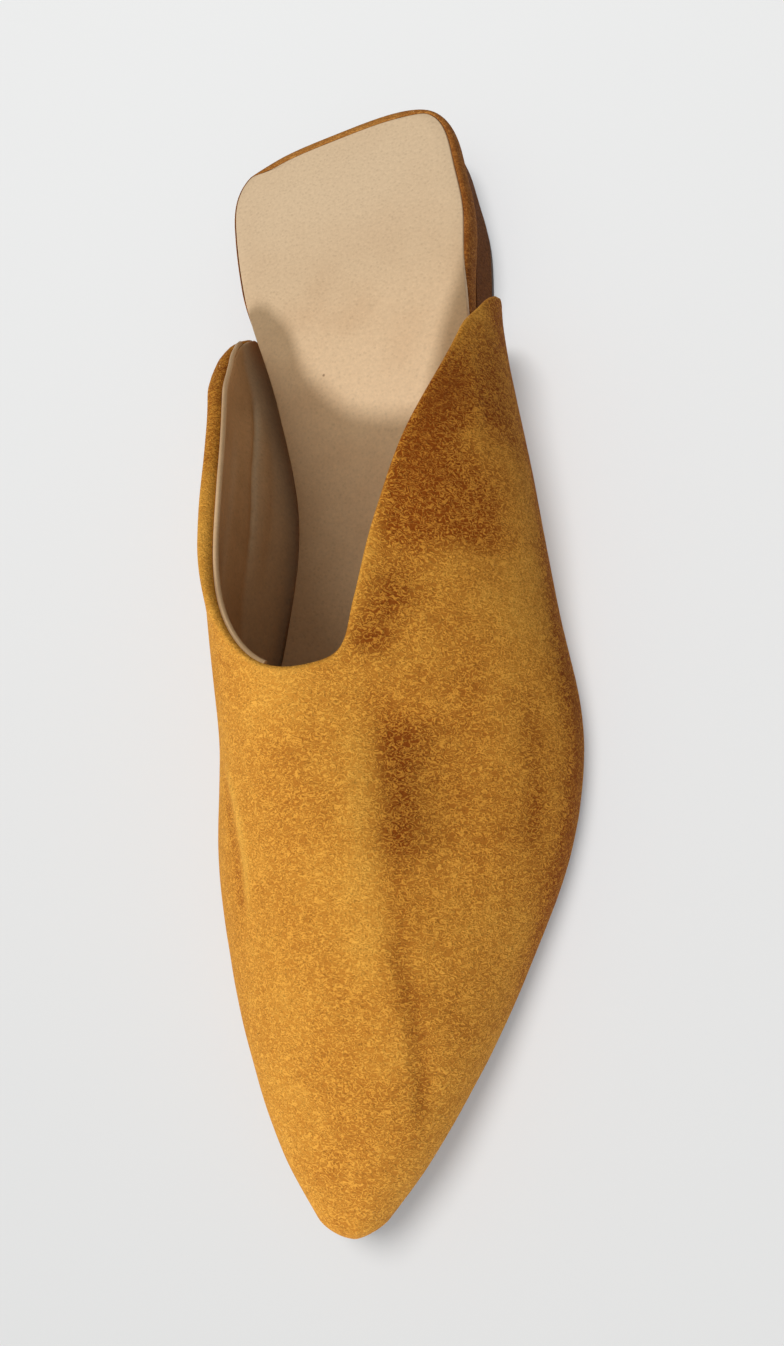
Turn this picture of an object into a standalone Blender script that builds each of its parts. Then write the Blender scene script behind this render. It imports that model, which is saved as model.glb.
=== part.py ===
# Flat pointed mule, left shoe: suede upper with two wings, open back, low covered heel.
# Metres, +Z up, toe towards -Y, lateral side towards +X, floor at Z = 0. The origin lies on the
# floor, under the middle of the whole shoe.
# Stations run from 0 at the heel's back to 1 at the tip of the toe.

import math
from collections import namedtuple

import bmesh
import bpy
from mathutils import Vector

# Driving dimensions
LENGTH = 0.264  # heel's back to tip of the toe, inside the upper's line
BALL_WIDTH = 0.082  # across the sole at the joints of the foot
INSTEP_HEIGHT = 0.065  # top of the last above the floor, at the instep
HEEL_HEIGHT = 0.0188  # nominal; the insole's top comes to 18.9 mm at the heel seat

# Walls, layers and the gap that meeting pieces keep
GAP = 0.0003
UPPER_WALL = 0.0020  # suede and its lining together
UPPER_SEAT = UPPER_WALL + GAP  # upper's outer line to the footbed's edge
INSOLE_THICKNESS = 0.0012
INSOLE_EDGE_ROUND = 0.0004
OUTSOLE_THICKNESS = 0.0026
OUTSOLE_GAP = 0.0004  # the upper's inner edge dips a little below its outer one
TOP_LIFT_THICKNESS = 0.0025
FOOTBED_RIM = 0.0024  # width of the suede rim seen round the insole at the heel
MEDIAL_RIM_SHARE = 0.35  # share of that width along the medial side
BACK_RIM_EXTRA = 0.0013  # and this much wider along the heel's back
RIM_RAISE = GAP + INSOLE_THICKNESS  # it stands level with the insole's top
COVERED_RAISE = 0.0001
INSOLE_IN_WINGS = 0.0014  # insole's edge to the lining, where the wings hide the rim

# Ends of the outline
HEEL_ROUND = 0.0275  # length of the heel end that turns inward
HEEL_SQUARENESS = 3.4  # 2 is an ellipse, more is squarer
HEEL_SKEW = 0.093  # back edge's slant: the heel's axis turns outward from the shoe's
TOE_ROUND = 0.0045
TOE_SQUARENESS = 1.8
HEEL_BREAST = 0.250  # station of the heel block's front face
FOOTBED_END = 0.985  # station where the footbed and insole stop, short of the toe's wall

# Sides of the sole and the heel
ARCH_MEDIAL = 0.0030  # how far the outsole draws in under the waist
ARCH_LATERAL = 0.0010
HEEL_TUCK = 0.0009  # step in the heel's side just under the footbed's swell
HEEL_FLARE = 0.0008  # how far the side comes out again down to the floor
HEEL_BACK_DRAW = 0.0004  # how far the block draws in at the back, down at the floor
BREAST_MEDIAL = 0.0030  # how far the block draws in towards its front face
BREAST_LATERAL = -0.0013  # on the lateral side it stands out instead
TOP_LIFT_INSET = 0.0007  # the lift stands inside the covered block

BACK_Y = LENGTH / 2 + UPPER_SEAT
TOE_Y = -LENGTH / 2
SPAN = BACK_Y - TOE_Y
SOLE_TOP = OUTSOLE_THICKNESS + OUTSOLE_GAP

# Outline of the upper's bottom edge, carried on round the heel, and the line on which it lies.
# medial, lateral: shares of the ball width. lift, pad: shares of the heel height, the footbed's
# underside above its place at the ball and the footbed's thickness.
Footprint = namedtuple("Footprint", "station medial lateral lift pad")
FOOTPRINT = [
    Footprint(0.00, 0.412, 0.428, 0.430, 0.336),
    Footprint(0.09, 0.394, 0.458, 0.430, 0.336),
    Footprint(0.15, 0.372, 0.482, 0.430, 0.336),
    Footprint(0.22, 0.330, 0.469, 0.420, 0.336),
    Footprint(0.31, 0.259, 0.467, 0.300, 0.310),
    Footprint(0.42, 0.222, 0.516, 0.100, 0.213),
    Footprint(0.53, 0.285, 0.570, 0.000, 0.157),
    Footprint(0.63, 0.369, 0.618, 0.000, 0.157),
    Footprint(0.72, 0.424, 0.565, 0.000, 0.157),
    Footprint(0.80, 0.397, 0.450, 0.000, 0.157),
    Footprint(0.87, 0.308, 0.326, 0.066, 0.157),
    Footprint(0.94, 0.201, 0.164, 0.155, 0.157),
    Footprint(1.00, 0.085, 0.010, 0.245, 0.157),
]

# Last above that line. ridge: the top's place across the shoe (+ lateral), share of the ball
# width. top: its height above the floor, share of the instep height. *_side: how far the wall
# swells past the bottom edge, share of the ball width. *_full: how far the top runs out level
# before it turns down, share of the way to the edge.
Last = namedtuple("Last", "station ridge top medial_side lateral_side medial_full lateral_full")
LAST = [
    Last(0.20, 0.022, 0.887, 0.078, 0.102, 0.74, 0.51),
    Last(0.31, 0.004, 0.895, 0.089, 0.119, 0.73, 0.53),
    Last(0.42, -0.036, 0.956, 0.082, 0.111, 0.69, 0.47),
    Last(0.53, -0.028, 0.860, 0.052, 0.073, 0.60, 0.29),
    Last(0.63, 0.003, 0.690, 0.013, 0.033, 0.49, 0.24),
    Last(0.72, 0.030, 0.588, -0.006, 0.010, 0.43, 0.38),
    Last(0.80, 0.046, 0.505, -0.006, 0.012, 0.44, 0.55),
    Last(0.87, 0.058, 0.434, 0.023, 0.018, 0.52, 0.65),
    Last(0.94, 0.050, 0.348, 0.031, 0.031, 0.61, 0.72),
    Last(1.00, -0.010, 0.253, 0.002, 0.010, 0.66, 0.73),
]
MEDIAL_HANDLE = 0.63  # height at which each wall starts to turn in, share of the section's
LATERAL_HANDLE = 0.52

# Free edge of the upper: throat, collar and the ends of the wings. medial, lateral: how far round
# the section the edge lies, from 0 at the medial bottom edge to 1 at the lateral one.
Edge = namedtuple("Edge", "station medial lateral")
EDGE = [
    Edge(0.218, 0.018, 1.000),
    Edge(0.225, 0.034, 0.999),
    Edge(0.240, 0.060, 0.990),
    Edge(0.250, 0.074, 0.965),
    Edge(0.262, 0.091, 0.907),
    Edge(0.270, 0.101, 0.875),
    Edge(0.280, 0.113, 0.849),
    Edge(0.290, 0.126, 0.830),
    Edge(0.318, 0.158, 0.785),
    Edge(0.413, 0.213, 0.709),
    Edge(0.483, 0.265, 0.673),
    Edge(0.543, 0.348, 0.644),
    Edge(0.583, 0.449, 0.605),
    Edge(0.591, 0.530, 0.530),
]
MEDIAL_WING_END = 0.218  # stations of the wings' ends; the lateral wing is the shorter one
LATERAL_WING_END = 0.250

# Section of the footbed's edge, from its underside up, round its swell and in to the insole. The
# edge is wrapped in suede, and where it shows it stands up round the insole as a rim.
# height: share of the footbed's thickness. raised: share of the rim's height above that.
# shown, covered: inset in metres on the open heel seat and inside the wings.
Section = namedtuple("Section", "height raised shown covered")
FOOTBED_EDGE = [
    Section(0.00, 0.0, 0.0012, 0.0008),
    Section(0.25, 0.0, 0.0003, 0.0004),
    Section(0.55, 0.0, 0.0000, 0.0005),
    Section(0.85, 0.0, 0.0002, 0.0006),
    Section(1.00, 0.3, 0.0007, 0.0008),
    Section(1.00, 0.7, 0.0012, 0.0009),
    Section(1.00, 1.0, 0.0021, 0.0010),
    Section(1.00, 0.0, 0.0021, 0.0011),
]

# Counts of the mesh
UPPER_FRONT_ROWS = 24
UPPER_WING_ROWS = 20
UPPER_HALF_COLUMNS = 14
BODY_STATIONS = 26
HEEL_END_STATIONS = 12
TOE_END_STATIONS = 8

# Colours, linear
SUEDE = (0.50, 0.25, 0.045)
LEATHER = (0.72, 0.56, 0.42)
HEEL_COVER = (0.33, 0.15, 0.035)
SOLE_TAN = (0.22, 0.12, 0.06)
LIFT_BROWN = (0.08, 0.045, 0.03)
SUEDE_ROUGHNESS = 0.95
LEATHER_ROUGHNESS = 0.6
SOLE_ROUGHNESS = 0.75


def curve_through(rows, column, station):
    """Value of a table's column at a station, on a smooth curve through its rows."""
    xs = [row.station for row in rows]
    ys = [getattr(row, column) for row in rows]
    x = min(max(station, xs[0]), xs[-1])
    k = 0
    while k < len(xs) - 2 and x > xs[k + 1]:
        k += 1

    def slope(i):
        low = max(i - 1, 0)
        high = min(i + 1, len(xs) - 1)
        return (ys[high] - ys[low]) / (xs[high] - xs[low])

    span = xs[k + 1] - xs[k]
    t = (x - xs[k]) / span
    start = ys[k] * (2 * t**3 - 3 * t**2 + 1) + slope(k) * span * (t**3 - 2 * t**2 + t)
    end = ys[k + 1] * (3 * t**2 - 2 * t**3) + slope(k + 1) * span * (t**3 - t**2)
    return start + end


def fade(value, start, end):
    """0 before start, 1 after end, smooth between."""
    t = min(max((value - start) / (end - start), 0.0), 1.0)
    return t * t * (3 - 2 * t)


def closing(station):
    """Share of the full width left where the outline turns in at the heel and at the toe."""
    from_back = station * SPAN
    from_tip = (1 - station) * SPAN
    if from_back < HEEL_ROUND:
        depth = 1 - from_back / HEEL_ROUND
        return max(1 - depth**HEEL_SQUARENESS, 0.0) ** (1 / HEEL_SQUARENESS)
    if from_tip < TOE_ROUND:
        depth = 1 - from_tip / TOE_ROUND
        return max(1 - depth**TOE_SQUARENESS, 0.0) ** (1 / TOE_SQUARENESS)
    return 1.0


def footprint(station):
    """Medial and lateral x of the upper's bottom edge."""
    medial = curve_through(FOOTPRINT, "medial", station) * BALL_WIDTH
    lateral = curve_through(FOOTPRINT, "lateral", station) * BALL_WIDTH
    middle = (lateral - medial) / 2
    half = (lateral + medial) / 2 * closing(station)
    return middle - half, middle + half


def rise(station):
    """Height of the footbed's underside: level at the ball, up to the heel and at the toe."""
    return SOLE_TOP + max(curve_through(FOOTPRINT, "lift", station), 0.0) * HEEL_HEIGHT


def pad(station):
    """Thickness of the footbed."""
    return curve_through(FOOTPRINT, "pad", station) * HEEL_HEIGHT


def length_place(station, x):
    """Y of a point: the heel end is slanted, its lateral corner further back."""
    slant = HEEL_SKEW * x * (1 - fade(station, 0.0, 0.30))
    return BACK_Y - station * SPAN + slant


def upper_point(station, around):
    """Point on the upper's outside; around is 0 at the medial bottom edge, 1 at the lateral one."""
    medial_x, lateral_x = footprint(station)
    base = rise(station)
    height = curve_through(LAST, "top", station) * INSTEP_HEIGHT - base
    ridge = curve_through(LAST, "ridge", station) * BALL_WIDTH
    if around < 0.5:
        edge = medial_x
        swell = -curve_through(LAST, "medial_side", station) * BALL_WIDTH
        full = curve_through(LAST, "medial_full", station)
        handle = MEDIAL_HANDLE
        t = 2 * around
    else:
        edge = lateral_x
        swell = curve_through(LAST, "lateral_side", station) * BALL_WIDTH
        full = curve_through(LAST, "lateral_full", station)
        handle = LATERAL_HANDLE
        t = 2 - 2 * around
    closed = closing(station)
    middle = (medial_x + lateral_x) / 2
    ridge = middle + (ridge - middle) * closed
    swell *= closed
    # each half of a section is one cubic arc, from its bottom edge to the ridge
    b0, b1, b2, b3 = (1 - t) ** 3, 3 * t * (1 - t) ** 2, 3 * t**2 * (1 - t), t**3
    x = b0 * edge + b1 * (edge + 2 * swell) + b2 * (ridge + full * (edge - ridge)) + b3 * ridge
    z = (b1 * handle + b2 + b3) * height * closed
    return (x, length_place(station, x), base + z)


def throat_distance(station):
    """Minus the root of the distance to the throat, so that the throat's edge is a round U."""
    return -math.sqrt(max(EDGE[-1].station - station, 0.0))


EDGE_BY_ROOT = [row._replace(station=throat_distance(row.station)) for row in EDGE]


def edge_at(station, side):
    """How far round the section the free edge lies."""
    return curve_through(EDGE_BY_ROOT, side, throat_distance(station))


def new_part(name, bm, colour, roughness):
    """Object for one piece, with its own material, in the mule's collection."""
    bmesh.ops.recalc_face_normals(bm, faces=bm.faces)
    mesh = bpy.data.meshes.new(name)
    bm.to_mesh(mesh)
    bm.free()
    material = bpy.data.materials.new(name)
    material.use_nodes = True
    shader = material.node_tree.nodes["Principled BSDF"]
    shader.inputs["Base Color"].default_value = (*colour, 1.0)
    shader.inputs["Roughness"].default_value = roughness
    shader.inputs["Metallic"].default_value = 0.0
    mesh.materials.append(material)
    part = bpy.data.objects.new(name, mesh)
    bpy.data.collections["flat_mule"].objects.link(part)
    return part


def upper_stations():
    """Stations of the front's and each wing's rows, close together at the tip and the throat."""
    throat = EDGE[-1].station
    front = []
    for i in range(UPPER_FRONT_ROWS + 1):
        w = i / UPPER_FRONT_ROWS
        front.append(1 - (1 - throat) * 3 * w**2 / (1 + 2 * w))
    shares = [(i / UPPER_WING_ROWS) ** 1.6 for i in range(1, UPPER_WING_ROWS + 1)]
    medial = [throat - (throat - MEDIAL_WING_END) * share for share in shares]
    lateral = [throat - (throat - LATERAL_WING_END) * share for share in shares]
    return front, medial, lateral


def make_upper():
    """Vamp and wings in one hollow wall, open at the collar and underneath."""
    bm = bmesh.new()
    n = UPPER_HALF_COLUMNS
    throat = EDGE[-1]
    front, medial_wing, lateral_wing = upper_stations()
    tip = bm.verts.new(upper_point(1.0, 0.5))
    rows = []
    for station in front[1:]:
        shares = [throat.medial * j / n for j in range(n)]
        shares += [throat.lateral + (1 - throat.lateral) * j / n for j in range(n + 1)]
        rows.append([bm.verts.new(upper_point(station, share)) for share in shares])
    for j in range(2 * n):
        bm.faces.new((tip, rows[0][j + 1], rows[0][j]))
    for first, second in zip(rows, rows[1:]):
        for j in range(2 * n):
            bm.faces.new((first[j], first[j + 1], second[j + 1], second[j]))
    medial_row = rows[-1][: n + 1]
    for station in medial_wing:
        inner = edge_at(station, "medial")
        new = [bm.verts.new(upper_point(station, inner * j / n)) for j in range(n + 1)]
        for j in range(n):
            bm.faces.new((medial_row[j], medial_row[j + 1], new[j + 1], new[j]))
        medial_row = new
    lateral_row = rows[-1][n:]
    for station in lateral_wing:
        outer = edge_at(station, "lateral")
        shares = [outer + (1 - outer) * j / n for j in range(n + 1)]
        new = [bm.verts.new(upper_point(station, share)) for share in shares]
        for j in range(n):
            bm.faces.new((lateral_row[j], lateral_row[j + 1], new[j + 1], new[j]))
        lateral_row = new
    upper = new_part("upper", bm, SUEDE, SUEDE_ROUGHNESS)
    top = max(upper.data.polygons, key=lambda face: face.center.z)
    if top.normal.z < 0:
        upper.data.flip_normals()
    upper.data.shade_smooth()
    wall = upper.modifiers.new("wall", "SOLIDIFY")
    wall.thickness = UPPER_WALL
    wall.offset = -1.0
    wall.use_even_offset = True


def outline_stations(first, last):
    """Stations of a plate, close together where the outline turns in."""
    heel_end = HEEL_ROUND / SPAN
    toe_start = 1 - TOE_ROUND / SPAN
    stations = []
    for i in range(HEEL_END_STATIONS + 1):
        turn = math.pi / 2 * i / HEEL_END_STATIONS
        stations.append(heel_end * (1 - max(math.cos(turn), 0.0) ** (2 / HEEL_SQUARENESS)))
    for i in range(1, BODY_STATIONS):
        stations.append(heel_end + (toe_start - heel_end) * i / BODY_STATIONS)
    for i in range(TOE_END_STATIONS + 1):
        turn = math.pi / 2 * i / TOE_END_STATIONS
        stations.append(1 - (1 - toe_start) * (1 - math.sin(turn) ** (2 / TOE_SQUARENESS)))
    inside = [station for station in stations if first < station < last]
    return [first] + inside + [last]


def inset_outline(stations, inset):
    """Outline at each station, moved inward by inset(station, side) along its own normal."""
    lines = {"medial": [], "lateral": []}
    for station in stations:
        for side, x in zip(("medial", "lateral"), footprint(station)):
            lines[side].append((x, length_place(station, x)))
    moved = []
    for side, other, sign in (("medial", "lateral", 1.0), ("lateral", "medial", -1.0)):
        line = lines[side]
        # past a closed end, the line goes on along the other side
        before_first = lines[other][1] if stations[0] == 0 else line[0]
        after_last = lines[other][-2] if stations[-1] == 1 else line[-1]
        padded = [before_first] + line + [after_last]
        points = []
        for i, (x, y) in enumerate(line):
            dx = padded[i + 2][0] - padded[i][0]
            dy = padded[i + 2][1] - padded[i][1]
            amount = sign * inset(stations[i], side) / math.hypot(dx, dy)
            points.append((x - dy * amount, y + dx * amount))
        moved.append(points)
    return moved


def make_plate(name, first, last, layers, colour, roughness):
    """Closed piece stacked from outlines. layers: (inset(station, side), height(station))."""
    bm = bmesh.new()
    stations = outline_stations(first, last)
    rings = []
    for inset, height in layers:
        medial, lateral = inset_outline(stations, inset)
        left = [bm.verts.new((x, y, height(s))) for (x, y), s in zip(medial, stations)]
        right = [bm.verts.new((x, y, height(s))) for (x, y), s in zip(lateral, stations)]
        if first == 0:
            bm.verts.remove(right[0])
            right[0] = left[0]
        if last == 1:
            bm.verts.remove(right[-1])
            right[-1] = left[-1]
        rings.append((left, right))
    for left, right in (rings[0], rings[-1]):
        for i in range(len(stations) - 1):
            corners = [left[i], left[i + 1], right[i + 1], right[i]]
            bm.faces.new([v for k, v in enumerate(corners) if v not in corners[:k]])
    for (left, right), (left_up, right_up) in zip(rings, rings[1:]):
        for i in range(len(stations) - 1):
            bm.faces.new((left[i], left[i + 1], left_up[i + 1], left_up[i]))
            bm.faces.new((right[i], right[i + 1], right_up[i + 1], right_up[i]))
        if first > 0:
            bm.faces.new((left[0], right[0], right_up[0], left_up[0]))
        if last < 1:
            bm.faces.new((left[-1], right[-1], right_up[-1], left_up[-1]))
    new_part(name, bm, colour, roughness)


def shown(station):
    """1 on the open heel seat, 0 where the wings cover the footbed's edge."""
    return 1 - fade(station, 0.17, 0.26)


def rim_share(station, side):
    """Share of the rim's full width: whole round the back, narrower along the medial side."""
    if side == "lateral":
        return 1.0
    return 1 - (1 - MEDIAL_RIM_SHARE) * fade(station, 0.004, 0.020)


def back_rim(station, side):
    """Extra width of the rim along the heel's back, round the lateral corner too."""
    start, end = (0.004, 0.018) if side == "medial" else (0.010, 0.090)
    return BACK_RIM_EXTRA * (1 - fade(station, start, end))


def make_footbed():
    """Padded board under the insole, its edge rounded up to the insole at the heel seat."""
    def layer(row):
        def inset(station, side):
            open_share = shown(station)
            rim = row.shown * rim_share(station, side)
            rim += back_rim(station, side) * (row.shown / FOOTBED_EDGE[-1].shown) ** 2
            return UPPER_SEAT + rim * open_share + row.covered * (1 - open_share)

        def height(station):
            raised = COVERED_RAISE + (RIM_RAISE - COVERED_RAISE) * shown(station)
            return rise(station) + pad(station) * row.height + raised * row.raised

        return inset, height

    layers = [layer(row) for row in FOOTBED_EDGE]
    make_plate("footbed", 0.0, FOOTBED_END, layers, SUEDE, SUEDE_ROUGHNESS)


def make_insole():
    """Leather sock on the footbed, its upper edge rounded."""
    def layer(share, rounding):
        def inset(station, side):
            open_share = shown(station)
            rim = GAP + (FOOTBED_RIM - GAP) * rim_share(station, side) + back_rim(station, side)
            rim = rim * open_share + INSOLE_IN_WINGS * (1 - open_share)
            return UPPER_SEAT + rim + rounding

        def height(station):
            return rise(station) + pad(station) + GAP + INSOLE_THICKNESS * share

        return inset, height

    layers = [layer(0.0, 0.0), layer(0.6, 0.0), layer(1.0, INSOLE_EDGE_ROUND)]
    make_plate("insole", 0.0, FOOTBED_END, layers, LEATHER, LEATHER_ROUGHNESS)


def make_outsole():
    """Thin sole from the heel's breast to the toe, flat on the floor at the ball."""
    def layer(share, edge_inset):
        def inset(station, side):
            depth = ARCH_MEDIAL if side == "medial" else ARCH_LATERAL
            waist = fade(station, 0.20, 0.36) * (1 - fade(station, 0.44, 0.60))
            return edge_inset + depth * waist

        def height(station):
            return rise(station) - OUTSOLE_GAP - OUTSOLE_THICKNESS * (1 - share)

        return inset, height

    layers = [layer(0.0, 0.0014), layer(0.3, 0.0006), layer(1.0, 0.0003)]
    make_plate("outsole", HEEL_BREAST, 1.0, layers, SOLE_TAN, SOLE_ROUGHNESS)


def heel_side(share):
    """Inset of the heel's side at a share of the way down from the footbed to the floor."""
    def inset(station, side):
        draw = BREAST_MEDIAL if side == "medial" else BREAST_LATERAL
        drawn = draw * fade(station, 0.08, HEEL_BREAST)
        drawn += HEEL_BACK_DRAW * (1 - fade(station, 0.02, 0.10))
        return UPPER_SEAT + HEEL_TUCK * (1 - share) + (drawn - HEEL_FLARE) * share

    return inset


def make_heel():
    """Low block under the heel seat, covered in the same suede."""
    bottom = TOP_LIFT_THICKNESS + GAP

    def layer(share):
        def height(station):
            return rise(station) - GAP - (rise(station) - GAP - bottom) * share

        return heel_side(share * (1 - bottom / rise(0.0))), height

    layers = [layer(share) for share in (1.0, 0.5, 0.0)]
    make_plate("heel", 0.0, HEEL_BREAST - GAP / SPAN, layers, HEEL_COVER, SUEDE_ROUGHNESS)


def make_top_lift():
    """Wear piece under the heel block."""
    side = heel_side(1.0)

    def inset(station, side_name):
        return side(station, side_name) + TOP_LIFT_INSET

    layers = [(inset, lambda station: 0.0), (inset, lambda station: TOP_LIFT_THICKNESS)]
    last = HEEL_BREAST - GAP / SPAN
    make_plate("top_lift", 0.0, last, layers, LIFT_BROWN, SOLE_ROUGHNESS)


def move_to_origin(parts):
    """Put the origin on the floor under the middle of the whole shoe."""
    depsgraph = bpy.context.evaluated_depsgraph_get()
    corners = []
    for part in parts:
        corners += [Vector(corner) for corner in part.evaluated_get(depsgraph).bound_box]
    for axis in range(2):
        values = [corner[axis] for corner in corners]
        middle = (min(values) + max(values)) / 2
        for part in parts:
            part.location[axis] = -middle


for old in list(bpy.data.objects):
    bpy.data.objects.remove(old, do_unlink=True)
collection = bpy.data.collections.new("flat_mule")
bpy.context.scene.collection.children.link(collection)

make_upper()
make_footbed()
make_insole()
make_outsole()
make_heel()
make_top_lift()
move_to_origin(list(collection.objects))
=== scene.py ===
import math

import bmesh
import bpy
import numpy as np
from mathutils import Matrix, Vector, noise


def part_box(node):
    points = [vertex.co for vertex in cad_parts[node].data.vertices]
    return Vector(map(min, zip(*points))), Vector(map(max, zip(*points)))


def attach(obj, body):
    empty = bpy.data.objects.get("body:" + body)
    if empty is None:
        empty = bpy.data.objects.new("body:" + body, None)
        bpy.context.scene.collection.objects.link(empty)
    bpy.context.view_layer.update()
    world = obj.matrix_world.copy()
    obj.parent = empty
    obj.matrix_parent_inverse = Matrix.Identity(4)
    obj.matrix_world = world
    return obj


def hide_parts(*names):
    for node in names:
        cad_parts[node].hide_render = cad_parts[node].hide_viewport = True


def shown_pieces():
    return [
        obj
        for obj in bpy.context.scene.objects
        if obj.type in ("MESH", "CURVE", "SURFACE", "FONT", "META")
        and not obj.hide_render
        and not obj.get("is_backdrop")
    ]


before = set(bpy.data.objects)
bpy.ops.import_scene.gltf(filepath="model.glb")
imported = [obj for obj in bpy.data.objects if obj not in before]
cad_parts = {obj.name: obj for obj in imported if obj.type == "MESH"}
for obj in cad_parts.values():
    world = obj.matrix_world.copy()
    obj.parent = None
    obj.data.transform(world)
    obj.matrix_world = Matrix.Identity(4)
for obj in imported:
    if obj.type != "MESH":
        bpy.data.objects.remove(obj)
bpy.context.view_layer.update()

mm = 0.001

# The shoe's own sizes in metres, as its solids have them. Stations run from 0 at the heel's back
# to 1 at the tip of the toe; "around" runs from 0 at the medial bottom edge to 1 at the lateral one.
# Widths in the tables are shares of the ball's width, lift and pad of the heel's height, and top of
# the instep's height.
shoe = {
    "length": 0.264,
    "ballWidth": 0.082,
    "instepHeight": 0.065,
    "heelHeight": 0.0188,
    "gap": 0.0003,
    "wall": 0.0020,
    "outsoleThickness": 0.0026,
    "outsoleGap": 0.0004,
    "topLiftThickness": 0.0025,
    "insoleThickness": 0.0012,
    "heelRound": 0.0275,     # length of the heel end that turns inward
    "heelSquareness": 3.4,   # 2 is an ellipse, more is squarer
    "heelSkew": 0.093,       # slant of the back edge, gone by the next station
    "skewEnd": 0.30,
    "toeRound": 0.0045,
    "toeSquareness": 1.8,
    "heelBreast": 0.250,
    "footbedEnd": 0.985,
    "handles": (0.63, 0.52),  # how high each side stands before it turns over the foot
    "crowding": 1.6,          # power by which rows crowd towards the throat
    # station, medial, lateral, lift, pad
    "footprint": [
        (0.00, 0.412, 0.428, 0.430, 0.336), (0.09, 0.394, 0.458, 0.430, 0.336),
        (0.15, 0.372, 0.482, 0.430, 0.336), (0.22, 0.330, 0.469, 0.420, 0.336),
        (0.31, 0.259, 0.467, 0.300, 0.310), (0.42, 0.222, 0.516, 0.100, 0.213),
        (0.53, 0.285, 0.570, 0.000, 0.157), (0.63, 0.369, 0.618, 0.000, 0.157),
        (0.72, 0.424, 0.565, 0.000, 0.157), (0.80, 0.397, 0.450, 0.000, 0.157),
        (0.87, 0.308, 0.326, 0.066, 0.157), (0.94, 0.201, 0.164, 0.155, 0.157),
        (1.00, 0.085, 0.010, 0.245, 0.157),
    ],
    # station, ridge, top, medialSide, lateralSide, medialFull, lateralFull
    "last": [
        (0.20, 0.022, 0.887, 0.078, 0.102, 0.74, 0.51),
        (0.31, 0.004, 0.895, 0.089, 0.119, 0.73, 0.53),
        (0.42, -0.036, 0.956, 0.082, 0.111, 0.69, 0.47),
        (0.53, -0.028, 0.860, 0.052, 0.073, 0.60, 0.29),
        (0.63, 0.003, 0.690, 0.013, 0.033, 0.49, 0.24),
        (0.72, 0.030, 0.588, -0.006, 0.010, 0.43, 0.38),
        (0.80, 0.046, 0.505, -0.006, 0.012, 0.44, 0.55),
        (0.87, 0.058, 0.434, 0.023, 0.018, 0.52, 0.65),
        (0.94, 0.050, 0.348, 0.031, 0.031, 0.61, 0.72),
        (1.00, -0.010, 0.253, 0.002, 0.010, 0.66, 0.73),
    ],
    # station, medial, lateral
    "edge": [
        (0.218, 0.018, 1.000), (0.225, 0.034, 0.999), (0.240, 0.060, 0.990), (0.250, 0.074, 0.965),
        (0.262, 0.091, 0.907), (0.270, 0.101, 0.875), (0.280, 0.113, 0.849), (0.290, 0.126, 0.830),
        (0.318, 0.158, 0.785), (0.413, 0.213, 0.709), (0.483, 0.265, 0.673), (0.543, 0.348, 0.644),
        (0.583, 0.449, 0.605), (0.591, 0.530, 0.530),
    ],
    "wingEnds": {"medial": 0.218, "lateral": 0.250},
}
footprint = np.array(shoe["footprint"])
last = np.array(shoe["last"])
freeEdge = np.array(shoe["edge"])
throat, throatMiddle = freeEdge[-1, 0], freeEdge[-1, 1]
backY = shoe["length"] / 2 + shoe["wall"] + shoe["gap"]
toeY = -shoe["length"] / 2
span = backY - toeY
soleTop = shoe["outsoleThickness"] + shoe["outsoleGap"]
seat = shoe["wall"] + shoe["gap"]


# smooth curve through the rows of a table
def curveThrough(xs, ys, x):
    x = np.clip(x, xs[0], xs[-1])
    k = np.clip(np.searchsorted(xs, x, side="left") - 1, 0, len(xs) - 2)
    slope = np.empty(len(xs))
    slope[1:-1] = (ys[2:] - ys[:-2]) / (xs[2:] - xs[:-2])
    slope[0] = (ys[1] - ys[0]) / (xs[1] - xs[0])
    slope[-1] = (ys[-1] - ys[-2]) / (xs[-1] - xs[-2])
    step = xs[k + 1] - xs[k]
    t = (x - xs[k]) / step
    start = ys[k] * (2 * t**3 - 3 * t**2 + 1) + slope[k] * step * (t**3 - 2 * t**2 + t)
    end = ys[k + 1] * (3 * t**2 - 2 * t**3) + slope[k + 1] * step * (t**3 - t**2)
    return start + end


# a column of a table whose first column is the station
def tableAt(table, column, station):
    return curveThrough(table[:, 0], table[:, column], station)


# 0 before the start, 1 after the end, and a smooth step between them
def fade(value, start, end):
    t = np.clip((np.asarray(value, float) - start) / (end - start), 0.0, 1.0)
    return t * t * (3 - 2 * t)


# sum of amounts, each coming in from the first to the second place of its pair
def mixed(values, amounts):
    return sum(amount * fade(values, *place) for amount, place in amounts)


def unit(vectors):
    return vectors / np.maximum(np.linalg.norm(vectors, axis=-1, keepdims=True), 1e-12)


# share of its width that the outline keeps where the heel and the toe close
def closing(station):
    share = 1.0
    for end, distance in (("heel", station * span), ("toe", (1 - station) * span)):
        depth = np.clip(1 - distance / shoe[end + "Round"], 0, 1)
        power = shoe[end + "Squareness"]
        share = share * np.clip(1 - depth**power, 0, 1) ** (1 / power)
    return share


def bottomEdge(station):
    medial = tableAt(footprint, 1, station) * shoe["ballWidth"]
    lateral = tableAt(footprint, 2, station) * shoe["ballWidth"]
    middle = (lateral - medial) / 2
    half = (lateral + medial) / 2 * closing(station)
    return middle - half, middle + half


# height of the last's bottom edge
def rise(station):
    return soleTop + np.maximum(tableAt(footprint, 3, station), 0) * shoe["heelHeight"]


# thickness of the footbed
def pad(station):
    return tableAt(footprint, 4, station) * shoe["heelHeight"]


# y of a place across the shoe
def lengthPlace(station, x):
    slant = shoe["heelSkew"] * x * (1 - fade(station, 0.0, shoe["skewEnd"]))
    return backY - station * span + slant


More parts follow.
